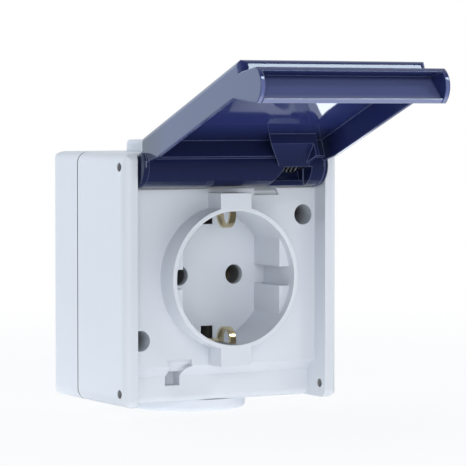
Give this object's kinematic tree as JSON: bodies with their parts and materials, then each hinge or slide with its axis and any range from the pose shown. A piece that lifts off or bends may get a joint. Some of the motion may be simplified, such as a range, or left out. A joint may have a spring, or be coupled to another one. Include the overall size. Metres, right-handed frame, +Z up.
{
  "type": "surface mounted socket",
  "caption": "Boxy surface mounted earthed power socket with a round recess, side cheeks and a hinged lid with a finger grip that closes over the front.",
  "frame": {"origin": "middle of the back face, which sits on the wall", "axes": "+X to the right seen from the front, +Y into the wall, +Z up"},
  "size_m": [0.0732, 0.1178, 0.1049],
  "materials": {
    "housing_grey": "satin",
    "lid_navy": "gloss",
    "contact_brass": "bright",
    "steel": "zinc plated",
    "entry_rubber": "matte",
    "seal_black": "matte",
    "insert_grey": "matte"
  },
  "bodies": {
    "housing": {"back_box": "housing_grey", "box_seal": "seal_black", "front_cover": "housing_grey", "hinge_pin_left": "steel", "hinge_pin_right": "steel", "contact_carrier": "insert_grey", "line_contact": "contact_brass", "neutral_contact": "contact_brass", "line_sleeve_ring": "steel", "neutral_sleeve_ring": "steel", "earth_strap": "contact_brass", "line_clamp_plate": "steel", "neutral_clamp_plate": "steel", "earth_clamp_plate": "steel", "line_terminal_screw": "steel", "neutral_terminal_screw": "steel", "earth_terminal_screw": "steel", "carrier_screws": "steel", "cover_screws": "steel", "cover_screw_seals": "seal_black", "cable_entry_top": "entry_rubber", "cable_entry_bottom": "entry_rubber", "lid_spring": "steel"},
    "lid": {"lid": "lid_navy"}
  },
  "joints": [
    {"name": "lid_hinge", "type": "hinge", "parent": "housing", "child": "lid", "pos_m": [0, -0.04515, 0.0334], "axis": [1, 0, 0], "range_deg": [0, 111], "deforming": ["lid_spring"]}
  ]
}
